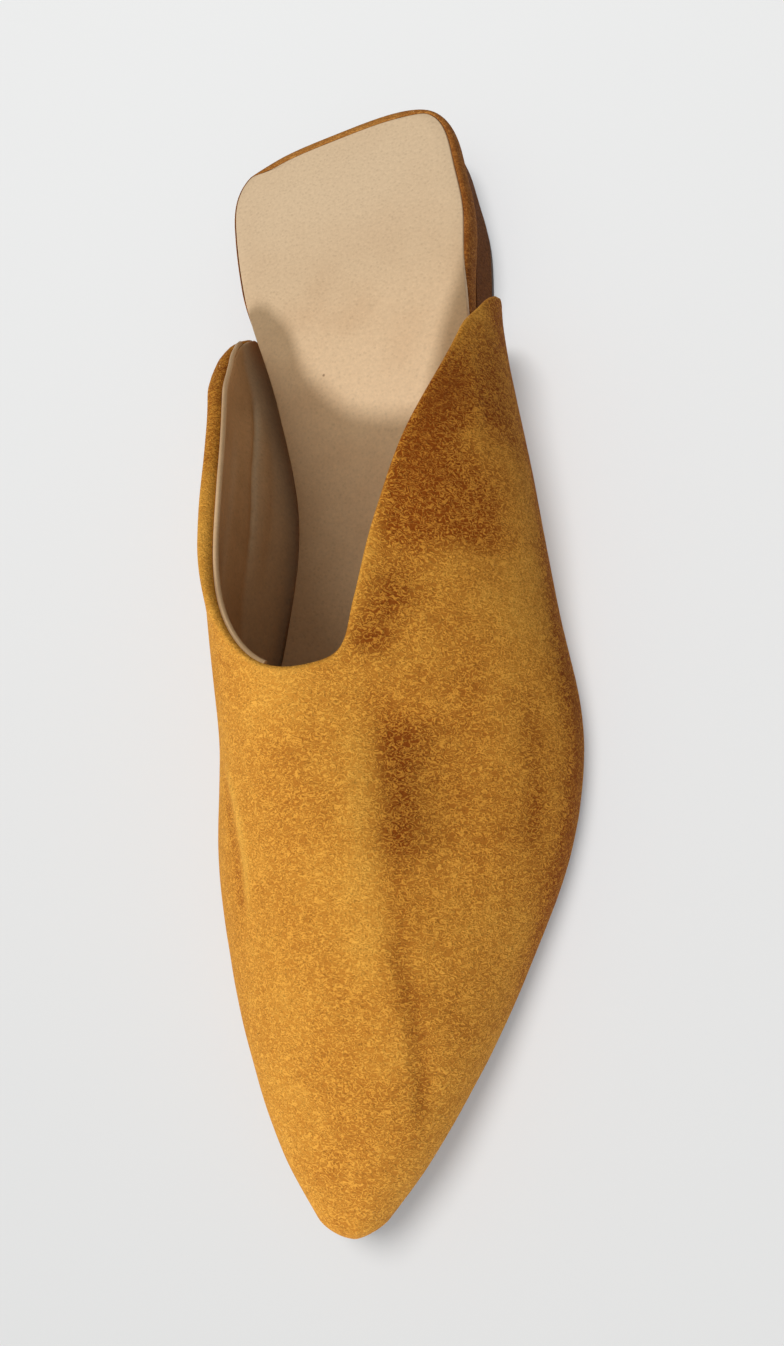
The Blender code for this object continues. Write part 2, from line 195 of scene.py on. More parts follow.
# points on the upper's outside, with the origin where the last was drawn
def upperPoint(station, around):
    station, around = np.broadcast_arrays(np.asarray(station, float), np.asarray(around, float))
    medialX, lateralX = bottomEdge(station)
    base = rise(station)
    height = tableAt(last, 2, station) * shoe["instepHeight"] - base
    ridge = tableAt(last, 1, station) * shoe["ballWidth"]
    medialHalf = around < 0.5
    edge = np.where(medialHalf, medialX, lateralX)
    swell = np.where(medialHalf, -tableAt(last, 3, station), tableAt(last, 4, station))
    full = np.where(medialHalf, tableAt(last, 5, station), tableAt(last, 6, station))
    handle = np.where(medialHalf, *shoe["handles"])
    t = np.where(medialHalf, 2 * around, 2 - 2 * around)
    closed = closing(station)
    middle = (medialX + lateralX) / 2
    ridge = middle + (ridge - middle) * closed
    swell = swell * shoe["ballWidth"] * closed
    b0, b1, b2, b3 = (1 - t) ** 3, 3 * t * (1 - t) ** 2, 3 * t**2 * (1 - t), t**3
    x = b0 * edge + b1 * (edge + 2 * swell) + b2 * (ridge + full * (edge - ridge)) + b3 * ridge
    z = (b1 * handle + b2 + b3) * height * closed
    return np.stack([x, lengthPlace(station, x), base + z], -1)


def upperNormal(station, around):
    stationStep, aroundStep = 4e-4, 1e-3
    station = np.minimum(station, 1 - 1.5 * stationStep)
    along = upperPoint(station + stationStep, around) - upperPoint(station - stationStep, around)
    low, high = np.maximum(around - aroundStep, 0), np.minimum(around + aroundStep, 1)
    across = upperPoint(station, high) - upperPoint(station, low)
    return unit(np.cross(along, across))


# how far round the section the free edge lies; the throat is a round U
def edgeAt(station, side):
    root = -np.sqrt(np.maximum(throat - station, 0))
    roots = -np.sqrt(throat - freeEdge[:, 0])
    return curveThrough(roots, freeEdge[:, 1 if side == "medial" else 2], root)


# (station, around) along the free edge: -1 at the medial wing's end, 0 at the throat, 1 lateral
def collarAt(run):
    run = np.asarray(run, float)
    ends = shoe["wingEnds"]
    reach = throat - np.where(run < 0, ends["medial"], ends["lateral"])
    station = throat - reach * np.abs(run) ** shoe["crowding"]
    return station, np.where(run < 0, edgeAt(station, "medial"), edgeAt(station, "lateral"))


# smooth unevenness between -1 and 1, with lumps of the given size
def softNoise(points, size, seed):
    shift = Vector((seed * 17.3, seed * 5.1, seed * 9.7))
    return np.array([noise.noise(Vector(p) / size + shift) for p in points])


# an sRGB hex value as a linear colour
def linear(hexColour):
    channels = [int(hexColour[k:k + 2], 16) / 255 for k in (1, 3, 5)]
    return tuple(c / 12.92 if c <= 0.04045 else ((c + 0.055) / 1.055) ** 2.4 for c in channels) + (1.0,)


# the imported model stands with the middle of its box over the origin
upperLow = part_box("upper")[0]
medialStations = np.linspace(shoe["wingEnds"]["medial"], 1, 600)
medialSide = upperPoint(medialStations[:, None], np.linspace(0, 0.5, 80)[None, :])[..., 0]
centring = np.array([upperLow[0] - medialSide.min(), upperLow[1] - toeY, 0.0])


# adds a node with its settings; an input takes a value, or the socket or node that feeds it
def addNode(tree, kind, inputs=None, **settings):
    made = tree.nodes.new(kind)
    for key, value in settings.items():
        setattr(made, key, value)
    for key, value in (inputs or {}).items():
        if isinstance(value, bpy.types.Node):
            value = value.outputs[0]
        if isinstance(value, bpy.types.NodeSocket):
            tree.links.new(value, made.inputs[key])
        else:
            made.inputs[key].default_value = value
    return made


# a material with its tree and shader, and the object's own coordinates in millimetres
def newMaterial(name, shaderInputs):
    material = bpy.data.materials.new(name)
    material.use_nodes = True
    tree = material.node_tree
    tree.nodes.clear()
    shader = addNode(tree, "ShaderNodeBsdfPrincipled", shaderInputs)
    addNode(tree, "ShaderNodeOutputMaterial", {"Surface": shader})
    place = addNode(tree, "ShaderNodeTexCoord").outputs["Object"]
    return material, tree, shader, addNode(tree, "ShaderNodeMapping", {
        "Vector": place, "Scale": (1000, 1000, 1000)})


# calf suede, buffed and brushed by hand: a short curly nap, matt, deep in colour where the pile is
# turned from the light and pale where it is brushed towards it; the pile field also holds painted
# light and painted shade, drawn with the same two colours
suedeFinish = {
    "turnedAndShaded": "#904A0F", "resting": "#CA8C35", "brushedAndLit": "#E6B452",
    "strandLength": 1.35,  # mm across the shoe; the nap is drawn about twice its real size
    "strandWidth": 0.9,   # mm along it
    "strandDepth": 0.25,  # mm
    "strandInTurned": 1.05, "strandInBrushed": 0.18,
    "strandMean": 0.42, "strandLight": 0.21,
    "grainsPerMm": 2.2, "pits": 0.28,
    "cloudSize": 20, "mottleSize": 4.5,  # mm
    "cloud": 0.7, "mottle": 0.6,
    "sheen": 0.07,
}


def suedeMaterial(name, finish):
    material, tree, shader, place = newMaterial(name, {
        "Roughness": 0.93, "Specular IOR Level": 0.12, "Sheen Weight": finish["sheen"],
        "Sheen Roughness": 0.5, "Sheen Tint": linear(finish["brushedAndLit"])})
    # strands lie across the shoe, as the nap was brushed, and curl
    combed = addNode(tree, "ShaderNodeMapping", {"Vector": place, "Rotation": (0, 0, 0.12), "Scale": (
        1 / finish["strandLength"], 1 / finish["strandWidth"], 1 / finish["strandLength"])})
    nap = addNode(tree, "ShaderNodeTexNoise", {
        "Vector": combed, "Scale": 1.0, "Detail": 1.5, "Roughness": 0.6, "Distortion": 1.3})
    grain = addNode(tree, "ShaderNodeTexNoise", {
        "Vector": place, "Scale": finish["grainsPerMm"], "Detail": 1.0})
    # the noise's middle level winds over the surface like a lying strand
    level = addNode(tree, "ShaderNodeMath", {0: nap, 1: 0.5}, operation="SUBTRACT")
    level = addNode(tree, "ShaderNodeMath", {0: level}, operation="ABSOLUTE")
    strand = addNode(tree, "ShaderNodeMapRange", {
        "Value": level, "From Max": 0.10, "To Min": 1.0, "To Max": 0.0},
        interpolation_type="SMOOTHSTEP")
    # -1 is dark, for turned nap and painted shade, and 1 is bright, for brushed nap and painted light
    lieAndLight = addNode(tree, "ShaderNodeAttribute", attribute_name="pileAndPaintedLight").outputs["Fac"]
    for patch, detail, roughness in (("cloud", 2.0, 0.5), ("mottle", 3.0, 0.65)):
        patches = addNode(tree, "ShaderNodeTexNoise", {
            "Vector": place, "Scale": 1 / finish[patch + "Size"], "Detail": detail, "Roughness": roughness})
        change = addNode(tree, "ShaderNodeMath", {
            0: patches, 1: finish[patch], 2: -finish[patch] / 2}, operation="MULTIPLY_ADD")
        lieAndLight = addNode(tree, "ShaderNodeMath", {0: lieAndLight, 1: change}, operation="ADD")
    contrast = addNode(tree, "ShaderNodeMapRange", {
        "Value": lieAndLight, "From Min": -0.7, "From Max": 0.5,
        "To Min": finish["strandInTurned"], "To Max": finish["strandInBrushed"]})
    raised = addNode(tree, "ShaderNodeMath", {0: strand, 1: finish["strandMean"]}, operation="SUBTRACT")
    swing = addNode(tree, "ShaderNodeMath", {0: raised, 1: contrast, 2: lieAndLight}, operation="MULTIPLY_ADD")
    colour = linear(finish["resting"])
    for way, full in (("turnedAndShaded", -1.0), ("brushedAndLit", 1.0)):
        share = addNode(tree, "ShaderNodeMapRange", {"Value": swing, "From Max": full})
        colour = addNode(tree, "ShaderNodeMix", {
            0: share, 6: colour, 7: linear(finish[way])}, data_type="RGBA").outputs[2]
    # small pits between the strands stay dark wherever the pile lies
    pit = addNode(tree, "ShaderNodeMapRange", {
        "Value": grain, "From Min": 0.30, "From Max": 0.46, "To Min": 1 - finish["pits"]})
    light = addNode(tree, "ShaderNodeMath", {
        0: raised, 1: finish["strandLight"], 2: pit}, operation="MULTIPLY_ADD")
    # painted shade: darker along the creases, beside the toe's ridge and at the throat
    paintedShade = addNode(tree, "ShaderNodeAttribute", attribute_name="paintedShade").outputs["Fac"]
    unshaded = addNode(tree, "ShaderNodeMath", {0: 1.0, 1: paintedShade}, operation="SUBTRACT")
    light = addNode(tree, "ShaderNodeMath", {0: light, 1: unshaded}, operation="MULTIPLY")
    colour = addNode(tree, "ShaderNodeVectorMath", {0: colour, "Scale": light}, operation="SCALE")
    tree.links.new(colour.outputs[0], shader.inputs["Base Color"])
    height = addNode(tree, "ShaderNodeMath", {0: grain, 1: 0.5, 2: strand}, operation="MULTIPLY_ADD")
    bump = addNode(tree, "ShaderNodeBump", {
        "Height": height, "Strength": 0.5, "Distance": finish["strandDepth"] * mm})
    tree.links.new(bump.outputs[0], shader.inputs["Normal"])
    return material


# vegetable-tanned sheepskin, rolled smooth: fine pores, a soft even sheen, faint clouds and a few
# specks from wear
sockFinish = {
    "base": "#E5C9A6", "shade": "#D0AD88", "paintedLight": "#ECD6B8", "speck": "#6B4A33",
    "poreSpacing": 0.9, "poreDepth": 0.05,  # mm
    "cloudSize": 20, "speckSpacing": 10,    # mm
    "grain": 0.36, "poreShade": 0.2, "wear": 0.45,
    "specks": 0.7, "speckless": 0.6,        # how dark they are, and the share of places without one
    "roughness": 0.6, "roughnessSwing": 0.07,
}


def leatherMaterial(name, finish):
    material, tree, shader, place = newMaterial(name, {"Specular IOR Level": 0.3})
    cloud = addNode(tree, "ShaderNodeTexNoise", {
        "Vector": place, "Scale": 1 / finish["cloudSize"], "Detail": 4.0})
    grain = addNode(tree, "ShaderNodeTexNoise", {
        "Vector": place, "Scale": 1 / finish["poreSpacing"], "Detail": 3.0, "Roughness": 0.65})
    pores = addNode(tree, "ShaderNodeTexVoronoi", {"Vector": place, "Scale": 0.8 / finish["poreSpacing"]})
    pit = addNode(tree, "ShaderNodeMapRange", {
        "Value": pores, "From Min": 0.12, "From Max": 0.42, "To Min": 1.0, "To Max": 0.0})
    worn = addNode(tree, "ShaderNodeMapRange", {
        "Value": cloud, "From Min": 0.42, "From Max": 0.68, "To Max": finish["wear"]})
    spots = addNode(tree, "ShaderNodeTexVoronoi", {
        "Vector": place, "Scale": 1 / finish["speckSpacing"]})
    spot = addNode(tree, "ShaderNodeMapRange", {
        "Value": spots, "From Min": 0.02, "From Max": 0.05, "To Min": finish["specks"], "To Max": 0.0})
    chosen = addNode(tree, "ShaderNodeMath", {
        0: spots.outputs["Color"], 1: finish["speckless"]}, operation="GREATER_THAN")
    spot = addNode(tree, "ShaderNodeMath", {0: spot, 1: chosen}, operation="MULTIPLY")
    light = addNode(tree, "ShaderNodeMath", {
        0: grain, 1: finish["grain"], 2: 1 - finish["grain"] / 2}, operation="MULTIPLY_ADD")
    # painted light: some places are drawn paler and greyer, as where more light falls
    paintedLight = addNode(tree, "ShaderNodeAttribute", attribute_name="paintedLight").outputs["Fac"]
    colour = linear(finish["base"])
    for amount, tint in ((worn, "shade"), (spot, "speck"), (paintedLight, "paintedLight")):
        colour = addNode(tree, "ShaderNodeMix", {
            0: amount, 6: colour, 7: linear(finish[tint])}, data_type="RGBA").outputs[2]
    dip = addNode(tree, "ShaderNodeMath", {
        0: pit, 1: -finish["poreShade"] * finish["grain"], 2: light}, operation="MULTIPLY_ADD")
    colour = addNode(tree, "ShaderNodeVectorMath", {0: colour, "Scale": dip}, operation="SCALE")
    tree.links.new(colour.outputs[0], shader.inputs["Base Color"])
    rough = addNode(tree, "ShaderNodeMapRange", {
        "Value": grain, "From Min": 0.3, "From Max": 0.7,
        "To Min": finish["roughness"] - finish["roughnessSwing"],
        "To Max": finish["roughness"] + finish["roughnessSwing"]})
    tree.links.new(rough.outputs[0], shader.inputs["Roughness"])
    height = addNode(tree, "ShaderNodeMath", {0: grain, 1: pit}, operation="SUBTRACT")
    bump = addNode(tree, "ShaderNodeBump", {
        "Height": height, "Strength": 0.4, "Distance": finish["poreDepth"] * mm})
    tree.links.new(bump.outputs[0], shader.inputs["Normal"])
    return material


# the same skin inside the vamp: deeper in colour and more clouded
liningFinish = dict(sockFinish, base="#D5AF84", shade="#B8936B", paintedLight="#E0CCB0", grain=0.40,
                    wear=0.7, specks=0.5)
# its skived and rolled edge: the palest, with the pores stretched out of sight
pipingFinish = dict(sockFinish, base="#E8C9A2", shade="#D2B088", grain=0.2, specks=0.0)
# sole leather, stained and burnished: a darker brown with a dull polish and scuffs
soleFinish = dict(sockFinish, base="#8E6239", shade="#6B4526", speck="#3A2617", poreSpacing=1.1,
                  grain=0.35, wear=0.9, specks=0.8, roughness=0.5)
# moulded rubber: dark, dead matt and coarse from the mould
rubberFinish = dict(sockFinish, base="#4B3628", shade="#37271C", speck="#20160F", poreSpacing=1.4,
                    poreDepth=0.12, grain=0.4, wear=0.8, specks=0.5, roughness=0.7)
# the edge wrap is the same suede drawn darker, as painted shade on its steep sides, and patchy, with the nap
# worn short
shadedWrapFinish = dict(suedeFinish, turnedAndShaded="#6E3712", resting="#A0642B", brushedAndLit="#BE8A48", sheen=0.10,
                  mottle=0.95, strandInBrushed=0.6)
# the heel's cover is the same suede drawn browner and darker still: painted shade under the footbed's swell
shadedBlockFinish = dict(suedeFinish, turnedAndShaded="#55301B", resting="#724526", brushedAndLit="#8A5C30", sheen=0.08)
suede = suedeMaterial("brushed_mustard_suede", suedeFinish)
shadedWrapSuede = suedeMaterial("edge_wrap_suede_painted_shade", shadedWrapFinish)
shadedBlockSuede = suedeMaterial("heel_cover_suede_painted_shade", shadedBlockFinish)
sockLeather = leatherMaterial("sand_sock_leather", sockFinish)
liningLeather = leatherMaterial("sand_lining_leather", liningFinish)
pipingLeather = leatherMaterial("pale_piping_leather", pipingFinish)
soleLeather = leatherMaterial("tan_sole_leather", soleFinish)
liftRubber = leatherMaterial("dark_brown_rubber_lift", rubberFinish)
print("materials made")


# closes the mesh's seams and hands the piece to the frame; sharp is in degrees
def finishPiece(name, mesh, material, node, sharp=None):
    mergeDistance = 1e-7
    made = bmesh.new()
    made.from_mesh(mesh)
    bmesh.ops.remove_doubles(made, verts=made.verts, dist=mergeDistance)
    bmesh.ops.recalc_face_normals(made, faces=made.faces)
    made.to_mesh(mesh)
    made.free()
    mesh.shade_smooth()
    if sharp:
        mesh.set_sharp_from_angle(angle=math.radians(sharp))
    mesh.materials.clear()
    mesh.materials.append(material)
    piece = bpy.data.objects.new(name, mesh)
    bpy.context.scene.collection.objects.link(piece)
    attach(piece, "root")
    if node:
        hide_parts(node)
    return piece


def meshFrom(name, points, faces):
    mesh = bpy.data.meshes.new(name)
    mesh.from_pydata((points + centring).tolist(), [], faces)
    return mesh


# faces between two rows of points; a closed row runs round to its start
def quadsBetween(first, second, closed=False):
    count = len(first)
    pairs = [(j, (j + 1) % count) for j in range(count if closed else count - 1)]
    return [(first[j], first[k], second[k], second[j]) for j, k in pairs]


# a value for each point of the mesh, for its material to read
def writeField(mesh, key, values):
    attribute = mesh.attributes.new(key, "FLOAT", "POINT")
    attribute.data.foreach_set("value", values.astype(np.float32))


# the free edge, held back along the surface so that a rounded lip ends at its true place
def heldBack(station, side, back):
    value = edgeAt(station - back / span, side)
    step, least, throatReach = 1e-3, 0.004, 0.06
    across = upperPoint(station, value + step) - upperPoint(station, value - step)
    pace = np.linalg.norm(across, axis=-1) / (2 * step)
    sign = -1 if side == "medial" else 1
    value = value + sign * back / pace * fade(np.abs(value - throatMiddle), 0.0, throatReach)
    if side == "medial":
        return np.clip(value, least, throatMiddle)
    return np.clip(value, throatMiddle, 1 - least)


# rows of the upper with their faces and the loop of points round its border
def upperGrid(make, back):
    deepest = throat + back / span
    columns = make["columns"]
    # rows lie closest at the tip of the toe
    w = np.arange(1, make["frontRows"] + 1) / make["frontRows"]
    front = 1 - (1 - deepest) * 3 * w**2 / (1 + 2 * w)
    half = np.arange(columns + 1) / columns
    stations, arounds = [1.0], [0.5]
    frontIndex, medialIndex, lateralIndex = [], [], []

    def addRow(rows, station, values):
        rows.append(list(range(len(stations), len(stations) + len(values))))
        stations.extend([station] * len(values))
        arounds.extend(values.tolist())

    shares = np.concatenate([throatMiddle * half[:-1], throatMiddle + (1 - throatMiddle) * half])
    for station in front:
        addRow(frontIndex, station, shares)
    medialIndex.append(frontIndex[-1][:columns + 1])
    lateralIndex.append(frontIndex[-1][columns:])
    for side, rows in (("medial", medialIndex), ("lateral", lateralIndex)):
        end = shoe["wingEnds"][side] + back / span
        for w in np.arange(1, make["wingRows"] + 1) / make["wingRows"]:
            station = deepest - (deepest - end) * w ** shoe["crowding"]
            value = float(heldBack(np.array(station), side, back))
            addRow(rows, station, value * half if side == "medial" else value + (1 - value) * half)
    faces = [(0, b, a) for a, b in zip(frontIndex[0], frontIndex[0][1:])]
    for rows in (frontIndex, medialIndex, lateralIndex):
        for first, second in zip(rows, rows[1:]):
            faces += quadsBetween(first, second)
    bottomLateral = [row[-1] for row in frontIndex] + [row[-1] for row in lateralIndex[1:]]
    free = lateralIndex[-1][-2::-1] + [row[0] for row in lateralIndex[-2:0:-1]]
    free += [frontIndex[-1][columns]]
    free += [row[-1] for row in medialIndex[1:]] + medialIndex[-1][-2:0:-1]
    bottomMedial = [row[0] for row in medialIndex[:0:-1]] + [row[0] for row in frontIndex[::-1]]
    loop = [0] + bottomLateral + free + bottomMedial
    lip = [0.0] * (1 + len(bottomLateral)) + [1.0] * len(free) + [0.0] * len(bottomMedial)
    return np.array(stations), np.array(arounds), faces, np.array(loop), np.array(lip)


# distance from each point to a line of spots, and how far along the line it is met
def nearestOn(points, line):
    distance = np.full(len(points), 1e9)
    along = np.zeros(len(points))
    for spot, at in zip(line, np.linspace(0, 1, len(line))):
        d = np.linalg.norm(points - spot, axis=1)
        nearer = d < distance
        distance[nearer] = d[nearer]
        along[nearer] = at
    return distance, along


# sum of soft strokes: each is a line laid on the upper, its half width in mm and its amount
def strokeField(points, strokes):
    total = np.zeros(len(points))
    spotCount = 48
    for name, width, amount in strokes:
        path = np.array(upperLines[name])
        t = np.linspace(0, 1, spotCount)
        knots = np.linspace(0, 1, len(path))
        line = upperPoint(*(curveThrough(knots, path[:, k], t) for k in (0, 1)))
        distance, along = nearestOn(points, line)
        ends = fade(along, -0.02, 0.25) * (1 - fade(along, 0.75, 1.02))
        total += amount * ends * np.exp(-(distance / (width * mm)) ** 2)
    return total


# lines that follow the folds and the places of painted light and shade; paths are rows of (station, around)
upperLines = {
    "toeRidge": [(0.600, 0.600), (0.674, 0.612), (0.727, 0.598), (0.787, 0.600), (0.836, 0.625),
                 (0.876, 0.655)],
    "ridgeLight": [(0.600, 0.590), (0.660, 0.602), (0.720, 0.580), (0.790, 0.565), (0.830, 0.590)],
    "ridgeSide": [(0.590, 0.650), (0.640, 0.660), (0.690, 0.645), (0.745, 0.627), (0.795, 0.622)],
    "ridgeShade": [(0.620, 0.690), (0.655, 0.680), (0.695, 0.668), (0.745, 0.662)],
    "toeLine": [(0.765, 0.605), (0.800, 0.622), (0.850, 0.652), (0.890, 0.690), (0.910, 0.715)],
    "ballHollow": [(0.634, 0.685), (0.655, 0.695), (0.698, 0.692), (0.739, 0.700), (0.788, 0.725)],
    "outerField": [(0.555, 0.715), (0.630, 0.745), (0.690, 0.755), (0.740, 0.740)],
    "outerStreak": [(0.585, 0.830), (0.645, 0.842), (0.690, 0.848), (0.732, 0.848)],
    "outerEdge": [(0.640, 0.900), (0.700, 0.920), (0.765, 0.928), (0.836, 0.898)],
    "innerFold": [(0.635, 0.260), (0.675, 0.299), (0.714, 0.316), (0.742, 0.310), (0.773, 0.293)],
    "innerFoldSide": [(0.640, 0.225), (0.680, 0.262), (0.714, 0.280), (0.742, 0.276), (0.773, 0.262)],
    "wingFold": [(0.320, 0.797), (0.366, 0.795), (0.418, 0.793), (0.460, 0.800)],
    "wingBack": [(0.290, 0.870), (0.340, 0.850), (0.390, 0.830), (0.430, 0.810)],
    "wingInner": [(0.325, 0.775), (0.385, 0.740), (0.440, 0.712), (0.485, 0.710), (0.530, 0.730)],
    "wingMiddle": [(0.420, 0.800), (0.460, 0.790), (0.490, 0.785), (0.515, 0.775)],
    "wingBright": [(0.490, 0.860), (0.530, 0.850), (0.570, 0.800)],
    "throatPatch": [(0.590, 0.640), (0.568, 0.662), (0.545, 0.688), (0.515, 0.715)],
    "throatFront": [(0.600, 0.380), (0.612, 0.470), (0.618, 0.560)],
    "outerRim": [(0.240, 0.950), (0.340, 0.935), (0.460, 0.930), (0.580, 0.935), (0.680, 0.950),
                 (0.780, 0.955), (0.860, 0.950)],
    "medialEnd": [(0.218, 0.018), (0.240, 0.060), (0.300, 0.137), (0.370, 0.185), (0.440, 0.230)],
    "lateralEnd": [(0.262, 0.940), (0.280, 0.900), (0.310, 0.840)],
    "liningFold": [(0.287, 0.045), (0.327, 0.054), (0.384, 0.078), (0.424, 0.086), (0.500, 0.100)],
    "liningHollow": [(0.290, 0.062), (0.330, 0.070), (0.384, 0.094), (0.424, 0.104), (0.510, 0.120)],
    "liningFoot": [(0.300, 0.030), (0.384, 0.052), (0.424, 0.060), (0.500, 0.075)],
    "liningRipple": [(0.340, 0.110), (0.430, 0.150), (0.520, 0.190)],
}
# line, half width in mm, height in mm (a minus for a trough)
upperCreases = [
    ("toeRidge", 7.0, 0.5), ("ridgeSide", 5.0, -0.5), ("toeLine", 2.2, -0.45),
    ("ballHollow", 9.0, -0.8), ("outerStreak", 4.0, -0.3), ("outerEdge", 8.0, 0.2),
    ("innerFold", 1.8, 0.30), ("innerFoldSide", 2.4, -0.35), ("wingFold", 1.8, 0.15),
    ("wingMiddle", 8.0, -0.25), ("throatPatch", 6.0, -0.25),
]
liningFolds = [
    ("liningFold", 1.1, 0.75), ("liningHollow", 1.4, -0.4), ("liningFoot", 2.0, -0.4),
    ("liningRipple", 1.6, 0.25),
]
# line, half width in mm, pile with painted light (-1 is dark: fully turned nap and painted shade; 1 is
# bright: fully brushed nap and painted light)
upperPileAndPaintedLight = [
    ("ridgeLight", 4.0, 0.30), ("ridgeSide", 3.6, -0.40), ("ridgeShade", 7.5, -0.28),
    ("toeLine", 2.0, -0.28), ("outerField", 13.0, -0.10), ("outerStreak", 3.0, -0.34),
    ("outerRim", 5.5, -0.95), ("innerFold", 1.3, 0.5), ("innerFoldSide", 2.0, -0.35),
    ("wingFold", 1.4, 0.22), ("wingBack", 10.0, -0.45), ("wingInner", 8.0, -0.88),
    ("wingMiddle", 8.0, -0.50), ("wingBright", 8.0, 0.22), ("medialEnd", 6.0, -0.72),
    ("lateralEnd", 10.0, -0.75), ("throatPatch", 5.0, -0.55), ("throatFront", 7.0, 0.25),
]
# line, half width in mm, share of the brightness that the painted shade takes
upperPaintedShade = [
    ("ridgeShade", 8.0, 0.22), ("toeLine", 2.4, 0.12), ("outerStreak", 3.5, 0.08),
    ("throatPatch", 4.5, 0.15),
]
upperMake = {
    "frontRows": 110, "wingRows": 84, "columns": 46,
    "suedeThickness": 1.15 * mm,
    "liningThickness": 0.85 * mm,
    "layerGap": 0.05 * mm,
    "liningDrop": 0.5 * mm,       # the lining's edge lies below the suede's
    "lipSteps": 6,
    "bottomLip": 0.25,            # roundness of the lip under the shoe, where the collar's is 1
    # height, size of a lump
    "unevenness": [(0.15 * mm, 22 * mm), (0.06 * mm, 8 * mm)],
    # painted shade on the lateral half, painted light on the medial one and a painted highlight along the
    # collar
    "pileAndPaintedLight": [(-0.05, (0.50, 0.80)), (0.10, (0.55, 0.20))],
    "collarHighlight": 0.18, "collarReach": 1.6 * mm,
    # painted light: the lining is drawn paler from its long fold down to the sock, and along the crests of
    # folds
    "paintedLight": [(0.55, (-0.012, 0.004))], "crests": (-0.3, 0.5),
}
# the suede is turned over at the collar; places along it run from -1 to 1, as in collarAt
foldMake = {
    "thickness": 2.8 * mm, "reach": 4.0 * mm,
    "outward": 0.56,              # share of the thickness that stands out from the last
    "lateralThin": 0.86, "thins": (-0.60, -0.08),
    "endThin": 0.15, "ends": (-1.03, -0.93),
    "bulge": 0.36, "bulgeAt": -0.89, "bulgeWidth": 0.06,
    "spots": 480,
}
collarLine = upperPoint(*collarAt(np.linspace(-1, 1, foldMake["spots"])))


# extra thickness of the folded edge: full on the medial wing, slight on the lateral one
def foldSwell(points):
    make = foldMake
    distance, along = nearestOn(points, collarLine)
    run = 2 * along - 1
    full = 1 - make["lateralThin"] * fade(run, *make["thins"])
    bulge = make["bulge"] * np.exp(-((run - make["bulgeAt"]) / make["bulgeWidth"]) ** 2)
    ends = 1 - make["endThin"] * (1 - fade(run, *make["ends"])) + bulge
    return make["thickness"] * full * ends * np.exp(-(distance / make["reach"]) ** 2), distance


# one layer of the upper, with depths measured inward from the last's outside
def makeUpperShell(name, outerDepth, innerDepth, back, folds, material, node):
    make = upperMake
    stations, arounds, faces, loop, lip = upperGrid(make, back)
    base = upperPoint(stations, arounds)
    normals = upperNormal(stations, arounds)
    normals[0] = (0, -1, 0)
    relief = strokeField(base, upperCreases + folds) * mm
    for seed, (height, lump) in enumerate(make["unevenness"], 1):
        relief += height * softNoise(base, lump, seed)
    swell, collarDistance = foldSwell(base)
    inward = (1 - foldMake["outward"]) * swell
    # the fold swells the suede both ways and pushes the lining in
    outward = foldMake["outward"] * swell if node else -inward
    outer = base + normals * (relief + outward - outerDepth)[:, None]
    inner = base + normals * (relief - inward - innerDepth)[:, None]
    tangent = unit(np.roll(base[loop], -1, axis=0) - np.roll(base[loop], 1, axis=0))
    away = unit(np.cross(tangent, normals[loop]))
    # at the throat the border faces the heel, which tells which way it faces all round
    deepest = int(np.argmin(np.abs(arounds[loop] - throatMiddle) + 10 * (lip < 0.5)))
    if away[deepest][1] < 0:
        away = -away
    centre, arm = (outer[loop] + inner[loop]) / 2, (outer[loop] - inner[loop]) / 2
    half = np.linalg.norm(arm, axis=1, keepdims=True)
    # a thick edge is rounded less deeply than it is thick
    roundness = make["bottomLip"] + (1 - make["bottomLip"]) * lip
    reach = roundness[:, None] * np.minimum(half, 0.25 * mm + 0.5 * half)
    count = len(base)
    points = [outer, inner]
    rings = [loop.tolist()]
    for k in range(1, make["lipSteps"]):
        turn = math.pi * k / make["lipSteps"]
        points.append(centre + arm * math.cos(turn) + away * reach * math.sin(turn))
        start = 2 * count + (k - 1) * len(loop)
        rings.append(list(range(start, start + len(loop))))
    rings.append((loop + count).tolist())
    allFaces = faces + [tuple(v + count for v in reversed(face)) for face in faces]
    for first, second in zip(rings, rings[1:]):
        allFaces += quadsBetween(first, second, True)
    mesh = meshFrom(name, np.concatenate(points), allFaces)
    # painted light and shade laid over the nap's lie, with a painted highlight along the collar and its lip
    pileAndPaintedLight = strokeField(base, upperPileAndPaintedLight) + mixed(arounds, make["pileAndPaintedLight"])
    pileAndPaintedLight += make["collarHighlight"] * np.exp(-(collarDistance / make["collarReach"]) ** 2)
    below = tableAt(np.array(upperLines["liningFold"]), 1, stations) - arounds
    # painted light: paler below the lining's long fold and along the crests of its folds
    paintedLight = mixed(below, make["paintedLight"]) + np.clip(strokeField(base, folds), *make["crests"])
    # painted shade along the creases, beside the toe's ridge and at the throat
    paintedShade = strokeField(base, upperPaintedShade)
    for key, field, extra in (("pileAndPaintedLight", pileAndPaintedLight, make["collarHighlight"]), ("paintedLight", paintedLight, 0), ("paintedShade", paintedShade, 0)):
        onLips = np.tile(field[loop] + extra * lip, make["lipSteps"] - 1)
        writeField(mesh, key, np.concatenate([field, field, onLips]))
    return finishPiece(name, mesh, material, node)


suedeDepth = upperMake["suedeThickness"]
makeUpperShell("suede_upper", 0.0, suedeDepth, suedeDepth / 2, [], suede, "upper")
liningOut = suedeDepth + upperMake["layerGap"]
liningIn = liningOut + upperMake["liningThickness"]
makeUpperShell("vamp_lining", liningOut, liningIn, upperMake["liningDrop"] + upperMake["liningThickness"] / 2,
               liningFolds, liningLeather, None)


# the lining's pale rolled edge: a bead swept along the collar, inside the suede's fold
pipingMake = {
    "points": 200, "start": -0.975, "end": -0.06,
    "radius": 0.62 * mm, "sides": 12,
    "drop": 0.35 * mm,
    "press": 0.75,                # radii that its middle lies inside the suede
    "thickens": (-0.990, -0.935), "thins": (-0.45, -0.05), "thinnest": 0.02,
}


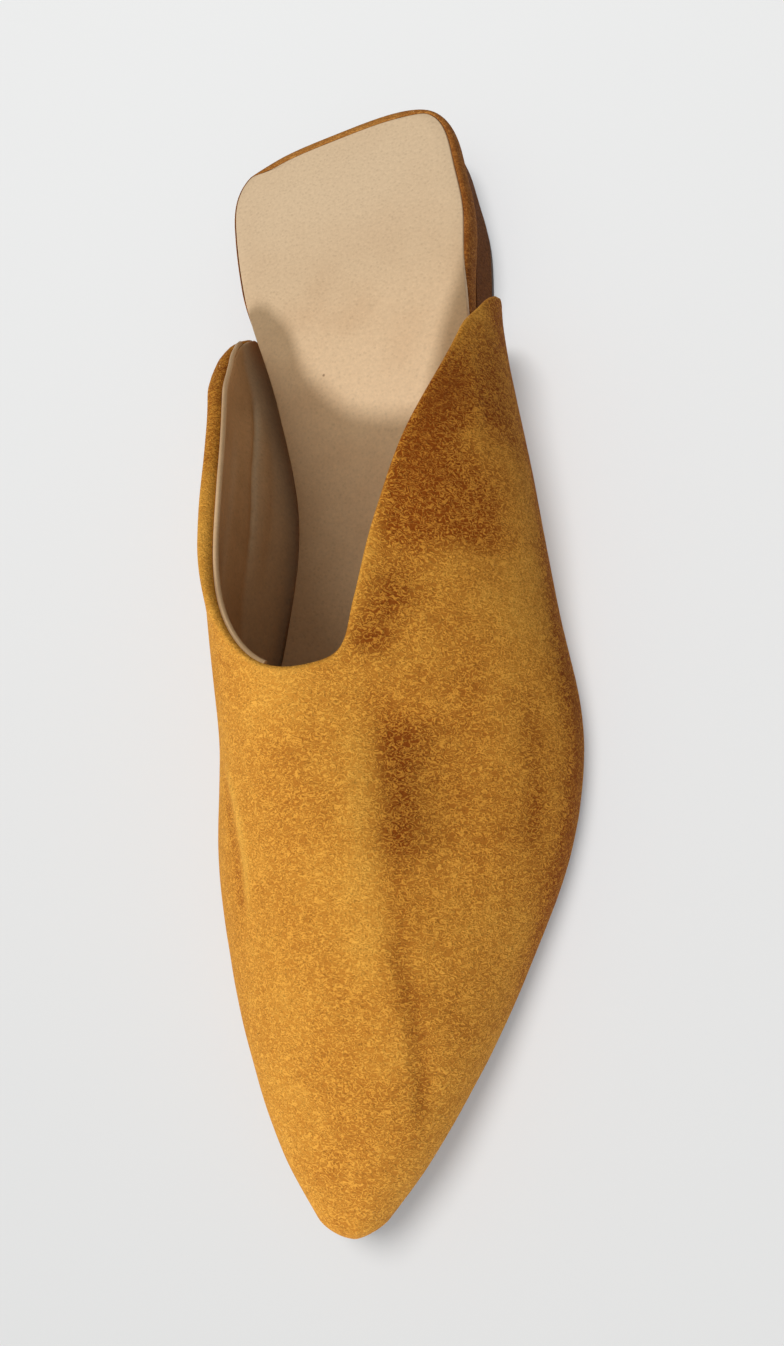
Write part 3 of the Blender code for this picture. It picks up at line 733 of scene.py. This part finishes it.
def beadTree():
    tree = bpy.data.node_groups.new("bead_along_path", "GeometryNodeTree")
    for name, kind in (("Path", "NodeSocketGeometry"), ("Bead radius", "NodeSocketFloat"),
                       ("Bead sides", "NodeSocketInt"), ("Material", "NodeSocketMaterial")):
        tree.interface.new_socket(name, in_out="INPUT", socket_type=kind)
    tree.interface.new_socket("Bead", in_out="OUTPUT", socket_type="NodeSocketGeometry")
    given = addNode(tree, "NodeGroupInput")
    profile = addNode(tree, "GeometryNodeCurvePrimitiveCircle", {
        "Resolution": given.outputs["Bead sides"], "Radius": given.outputs["Bead radius"]})
    swept = addNode(tree, "GeometryNodeCurveToMesh", {
        "Curve": given.outputs["Path"], "Profile Curve": profile, "Fill Caps": True})
    smooth = addNode(tree, "GeometryNodeSetShadeSmooth", {"Geometry": swept})
    real = addNode(tree, "GeometryNodeRealizeInstances", {"Geometry": smooth})
    painted = addNode(tree, "GeometryNodeSetMaterial", {
        "Geometry": real, "Material": given.outputs["Material"]})
    addNode(tree, "NodeGroupOutput", {0: painted})
    return tree


def makePiping(make):
    run = np.linspace(make["start"], make["end"], make["points"])
    stations, arounds = collarAt(run)
    edge = upperPoint(stations, arounds)
    normals = upperNormal(stations, arounds)
    swell = foldSwell(edge)[0]
    tangent = unit(np.gradient(edge, axis=0))
    down = unit(np.cross(tangent, normals))
    if down[-1][1] > 0:
        down = -down
    shares = fade(run, *make["thickens"]) * (1 - fade(run, *make["thins"])) + make["thinnest"]
    inward = (1 - foldMake["outward"]) * swell + suedeDepth + make["press"] * make["radius"] * shares
    path = edge - normals * inward[:, None] + down * make["drop"]
    spline = bpy.data.curves.new("collar_path", "CURVE")
    spline.dimensions = "3D"
    line = spline.splines.new("POLY")
    line.points.add(len(path) - 1)
    for point, place, share in zip(line.points, path + centring, shares):
        point.co = (*place, 1.0)
        point.radius = share
    carrier = bpy.data.objects.new("collar_path", spline)
    bpy.context.scene.collection.objects.link(carrier)
    tree = beadTree()
    sweep = carrier.modifiers.new("bead", "NODES")
    sweep.node_group = tree
    values = {"Bead radius": make["radius"], "Bead sides": make["sides"], "Material": pipingLeather}
    for item in tree.interface.items_tree:
        if item.in_out == "INPUT" and item.name in values:
            sweep[item.identifier] = values[item.name]
    depsgraph = bpy.context.evaluated_depsgraph_get()
    mesh = bpy.data.meshes.new_from_object(carrier.evaluated_get(depsgraph))
    carrier.modifiers.remove(sweep)
    bpy.data.objects.remove(carrier)
    mesh.name = "lining_piping"
    return finishPiece("lining_piping", mesh, pipingLeather, None)


makePiping(pipingMake)
print("upper made")


plateMake = {"bodyStations": 90, "heelStations": 26, "toeStations": 16, "columns": 18}


# rows of a flat piece, close together where the heel and the toe turn
def plateStations(first, end):
    apart = 1e-4
    heelEnd = shoe["heelRound"] / span
    toeStart = 1 - shoe["toeRound"] / span
    turn = np.linspace(0, math.pi / 2, plateMake["heelStations"])
    heel = heelEnd * (1 - np.maximum(np.cos(turn), 0) ** (2 / shoe["heelSquareness"]))
    body = np.linspace(heelEnd, toeStart, plateMake["bodyStations"])[1:-1]
    turn = np.linspace(0, math.pi / 2, plateMake["toeStations"])
    toe = 1 - (1 - toeStart) * (1 - np.sin(turn) ** (2 / shoe["toeSquareness"]))
    every = np.concatenate([heel, body, toe])
    inside = every[(every > first + apart) & (every < end - apart)]
    return np.concatenate([[first], inside, [end]])


# both sides of the outline, moved inward by inset(station, side)
def insetOutline(stations, inset):
    lines = {side: np.stack([x, lengthPlace(stations, x)], -1)
             for side, x in zip(("medial", "lateral"), bottomEdge(stations))}
    moved = []
    for side, other, sign in (("medial", "lateral", 1.0), ("lateral", "medial", -1.0)):
        line = lines[side]
        before = lines[other][1] if stations[0] == 0 else line[0]
        after = lines[other][-2] if stations[-1] == 1 else line[-1]
        padded = np.concatenate([[before], line, [after]])
        step = unit(padded[2:] - padded[:-2])
        amount = sign * inset(stations, side)[:, None]
        moved.append(line + np.stack([-step[:, 1], step[:, 0]], -1) * amount)
    return moved


# closed piece stacked from outlines, its flat sides laid out in a grid
def makePlate(name, first, end, layers, material, node, sharp=None):
    stations = plateStations(first, end)
    share = np.linspace(0, 1, plateMake["columns"] + 1)[:, None]
    points, faces, rings, flats = [], [], [], []

    def addGrid(grid, closed):
        count = sum(len(p) for p in points)
        points.append(grid.reshape(-1, 3))
        index = (count + np.arange(len(points[-1]))).reshape(grid.shape[:2]).tolist()
        for one, other in zip(index, index[1:]):
            faces.extend(quadsBetween(one, other, closed))

    for inset, height in layers:
        medial, lateral = insetOutline(stations, inset)
        z = height(stations)
        left = np.column_stack([medial, z])
        right = np.column_stack([lateral, z])
        if first == 0:
            right[0] = left[0] = (left[0] + right[0]) / 2
        if end == 1:
            right[-1] = left[-1] = (left[-1] + right[-1]) / 2
        flats.append((left, right))
        ring = [left]
        if end < 1:
            ring.append(left[-1] + (right[-1] - left[-1]) * share[1:-1])
        ring.append(right[::-1])
        if first > 0:
            ring.append(right[0] + (left[0] - right[0]) * share[1:-1])
        rings.append(np.concatenate(ring))
    addGrid(np.array(rings), True)
    for left, right in (flats[0], flats[-1]):
        addGrid(left[:, None] + (right - left)[:, None] * share[None], False)
    mesh = meshFrom(name, np.concatenate(points), faces)
    return finishPiece(name, mesh, material, node, sharp)


# a field by the distance from the shoe's back in mm
def drawField(piece, key, amounts):
    spots = np.empty(3 * len(piece.data.vertices), np.float32)
    piece.data.vertices.foreach_get("co", spots)
    writeField(piece.data, key, mixed((backY + centring[1] - spots[1::3]) / mm, amounts))


footbedMake = {
    "layers": 30,
    "covered": (0.17, 0.26),     # stations where the wings come over the footbed's edge
    "backExtra": 1.3 * mm,       # the rim is wider along the heel's back
    "backEnds": {"medial": (0.004, 0.018), "lateral": (0.0, 0.022)},
    "medialNarrow": 0.65, "narrows": (0.004, 0.020),
    "coveredRaise": 0.1 * mm,
    # height share, raised share, inset where shown, inset where covered (mm)
    "section": [
        (0.00, 0.0, 1.2, 1.2), (0.25, 0.0, 0.3, 0.9), (0.55, 0.0, 0.0, 1.0), (0.85, 0.0, 0.2, 1.3),
        (1.00, 0.3, 0.7, 1.7), (1.00, 0.7, 1.2, 1.8), (1.00, 0.85, 2.1, 1.9), (1.00, 0.0, 2.1, 2.0),
    ],
    # painted light and shade: pale along the back, dark towards the wings
    "pileAndPaintedLight": [(0.55, (14.0, 2.0)), (-0.25, (18.0, 50.0))],
}
rimRaise = shoe["gap"] + shoe["insoleThickness"]
section = np.array(footbedMake["section"])


# 1 on the open heel seat, 0 where the wings cover the footbed's edge
def shown(station):
    return 1 - fade(station, *footbedMake["covered"])


# width of the rim at a side, from its plain width and from a share of what the back adds
def rimAt(station, side, plain, backShare):
    narrow = footbedMake["medialNarrow"] if side == "medial" else 0.0
    backAdds = footbedMake["backExtra"] * (1 - fade(station, *footbedMake["backEnds"][side]))
    return plain * (1 - narrow * fade(station, *footbedMake["narrows"])) + backAdds * backShare


def footbedLayer(heightShare, raisedShare, shownInset, coveredInset):
    backShare = (shownInset / section[:, 2].max()) ** 2

    def inset(station, side):
        rim = rimAt(station, side, shownInset * mm, backShare)
        return seat + rim * shown(station) + coveredInset * mm * (1 - shown(station))

    def height(station):
        low = footbedMake["coveredRaise"]
        raised = low + (rimRaise - low) * shown(station)
        return rise(station) + pad(station) * heightShare + raised * raisedShare

    return inset, height


places = np.linspace(0, len(section) - 1, footbedMake["layers"])
knots = np.arange(len(section), dtype=float)
rows = np.stack([curveThrough(knots, section[:, k], places) for k in range(4)], -1)
wrap = makePlate("suede_edge_wrap", 0.0, shoe["footbedEnd"], [footbedLayer(*row) for row in rows],
                 shadedWrapSuede, "footbed", 60)
drawField(wrap, "pileAndPaintedLight", footbedMake["pileAndPaintedLight"])


sockMake = {
    "steps": 7, "edgeRound": 0.5 * mm,
    "rimWidth": 2.15 * mm, "insideWings": 1.4 * mm,
    "paintedLight": [(0.75, (75.0, 15.0))],  # painted light: the heel seat of the sock is drawn paler
}


def sockLayer(turn):
    share, rounding = math.sin(turn), (1 - math.cos(turn)) * sockMake["edgeRound"]

    def inset(station, side):
        rim = rimAt(station, side, sockMake["rimWidth"], 1.0)
        return seat + rim * shown(station) + sockMake["insideWings"] * (1 - shown(station)) + rounding

    def height(station):
        return rise(station) + pad(station) + shoe["gap"] + shoe["insoleThickness"] * share

    return inset, height


sock = makePlate("leather_sock", 0.0, shoe["footbedEnd"],
                 [sockLayer(turn) for turn in np.linspace(0, math.pi / 2, sockMake["steps"])],
                 sockLeather, "insole", 70)
drawField(sock, "paintedLight", sockMake["paintedLight"])


# sides of the heel block: tucked in under the footbed's swell, a little out again to the floor
heelMake = {
    "steps": 9,
    "tuck": 0.9 * mm, "flare": 0.8 * mm,
    "backDraw": 0.9 * mm, "backEnds": (0.04, 0.13),
    "breast": {"medial": 3.0 * mm, "lateral": -1.3 * mm}, "breastStart": 0.08,
}


# share runs from 0 under the footbed to 1 at the floor
def heelInset(share, extra=0.0):
    def inset(station, side):
        drawn = heelMake["breast"][side] * fade(station, heelMake["breastStart"], shoe["heelBreast"])
        drawn = drawn + heelMake["backDraw"] * (1 - fade(station, *heelMake["backEnds"]))
        return seat + extra + heelMake["tuck"] * (1 - share) + (drawn - heelMake["flare"]) * share

    return inset


# the sides run on to the floor in one slope with the lift's
def heelLayer(share):
    bottom = shoe["topLiftThickness"] + shoe["gap"]

    def height(station):
        under = rise(station) - shoe["gap"]
        return under - (under - bottom) * share

    return heelInset(share * (1 - bottom / float(rise(0.0)))), height


blockEnd = shoe["heelBreast"] - shoe["gap"] / span
makePlate("covered_heel_block", 0.0, blockEnd,
          [heelLayer(share) for share in np.linspace(1, 0, heelMake["steps"])],
          shadedBlockSuede, "heel", 50)

# the lift stands a little inside the block, its bottom edge broken
liftMake = {"inset": 0.7 * mm, "bevel": 0.3 * mm}


def liftLayer(height, rounding):
    return heelInset(1.0, liftMake["inset"] + rounding), lambda station: 0 * station + height


bevel = liftMake["bevel"]
makePlate("rubber_top_lift", 0.0, blockEnd,
          [liftLayer(0.0, bevel), liftLayer(bevel, 0.0), liftLayer(shoe["topLiftThickness"], 0.0)],
          liftRubber, "top_lift", 50)


outsoleMake = {
    "waistDepth": {"medial": 3.0 * mm, "lateral": 1.0 * mm},
    "narrows": (0.20, 0.36), "widens": (0.44, 0.60),
    # height share, inset (mm)
    "edge": [(0.0, 1.4), (0.12, 0.95), (0.3, 0.6), (0.65, 0.4), (1.0, 0.3)],
}


def outsoleLayer(share, edgeInset):
    def inset(station, side):
        waist = fade(station, *outsoleMake["narrows"]) * (1 - fade(station, *outsoleMake["widens"]))
        return edgeInset * mm + outsoleMake["waistDepth"][side] * waist

    def height(station):
        return rise(station) - shoe["outsoleGap"] - shoe["outsoleThickness"] * (1 - share)

    return inset, height


makePlate("leather_outsole", shoe["heelBreast"], 1.0,
          [outsoleLayer(*row) for row in outsoleMake["edge"]], soleLeather, "outsole", 50)
print("footbed, sock, heel and sole made")


# pale paper floor and soft studio light; the camera looks down over the lateral side
studio = {
    "floorColour": "#E6E6E6", "floorHalf": 3.0,
    # a small key models the shoe and a soft fill lies over it, warmed by the suede; the leather
    # takes more key and less fill. On the floor one light casts the shoe's soft shadow, and the
    # other washes out the rest
    # name, from, distance, size, power, colour, what it lights, whether it casts shadows
    "lights": [
        ("key", (-0.12, -0.89, 0.463), 1.5, 0.09, 12.5, (1.0, 0.99, 0.97), "suede", True),
        ("keyInside", (-0.12, -0.89, 0.463), 1.5, 0.09, 19.3, (1.0, 1.0, 1.0), "leather", True),
        ("fill", (-0.45, -0.10, 0.90), 1.6, 1.4, 17.5, (1.0, 0.92, 0.82), "suede", True),
        ("fillInside", (-0.45, -0.10, 0.90), 1.6, 1.4, 7.8, (1.0, 0.89, 0.74), "leather", True),
        ("cast", (-0.03, 0.36, 1.0), 1.6, 0.72, 14.0, (1.0, 1.0, 1.0), "floor", True),
        ("wash", (0.0, 0.0, 1.0), 2.5, 2.5, 25.5, (0.79, 0.89, 1.0), "floor", False),
    ],
    "sky": 0.26, "skyColour": (1.0, 0.90, 0.75),
    # from where the last was drawn
    "cameraPlace": (0.07484, -0.05803, 0.1956),
    "cameraRight": (0.943, -0.035, -0.330),
    "cameraUp": (0.121, 0.962, 0.246),
    "lens": 23.14, "sensor": 36.0, "shift": (-0.0067, -0.0483), "nearest": 0.01,
}


def makeStudio(make):
    scene = bpy.context.scene
    paper = newMaterial("pale_paper_floor", {
        "Roughness": 0.9, "Base Color": linear(make["floorColour"])})[0]
    half = make["floorHalf"]
    mesh = bpy.data.meshes.new("floor")
    mesh.from_pydata([(-half, -half, 0), (half, -half, 0), (half, half, 0), (-half, half, 0)],
                     [], [(0, 1, 2, 3)])
    mesh.materials.append(paper)
    floor = bpy.data.objects.new("floor", mesh)
    scene.collection.objects.link(floor)
    floor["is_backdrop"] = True
    suedePieces = [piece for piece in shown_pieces() if "suede" in piece.data.materials[0].name]
    leatherPieces = [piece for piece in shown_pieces() if piece not in suedePieces]
    receivers = {"suede": suedePieces, "leather": leatherPieces, "floor": [floor]}
    for name, place, distance, size, power, colour, lights, shadow in make["lights"]:
        direction = Vector(place).normalized()
        lamp = bpy.data.lights.new(name + "_softbox", "AREA")
        lamp.shape = "DISK"
        lamp.size = size
        lamp.energy = power
        lamp.color = colour
        lamp.use_shadow = shadow
        made = bpy.data.objects.new(name + "_softbox", lamp)
        made.location = direction * distance
        made.rotation_euler = direction.to_track_quat("Z", "Y").to_euler()
        scene.collection.objects.link(made)
        lit = bpy.data.collections.new(name + "_lights")
        for piece in receivers[lights]:
            lit.objects.link(piece)
        made.light_linking.receiver_collection = lit
    world = bpy.data.worlds.new("studio_air")
    world.use_nodes = True
    sky = world.node_tree.nodes["Background"]
    sky.inputs["Color"].default_value = (*make["skyColour"], 1.0)
    sky.inputs["Strength"].default_value = make["sky"]
    scene.world = world
    right = Vector(make["cameraRight"]).normalized()
    up = Vector(make["cameraUp"])
    up = (up - right * up.dot(right)).normalized()
    back = right.cross(up)
    lens = bpy.data.cameras.new("camera")
    lens.lens = make["lens"]
    lens.sensor_width = make["sensor"]
    lens.shift_x, lens.shift_y = make["shift"]
    lens.clip_start = make["nearest"]
    camera = bpy.data.objects.new("camera", lens)
    turn = Matrix((right, up, back)).transposed().to_4x4()
    camera.matrix_world = Matrix.Translation(Vector(make["cameraPlace"]) + Vector(centring)) @ turn
    scene.collection.objects.link(camera)
    scene.camera = camera
    scene.view_settings.view_transform = "Standard"
    scene.view_settings.look = "None"


makeStudio(studio)
print("studio set")
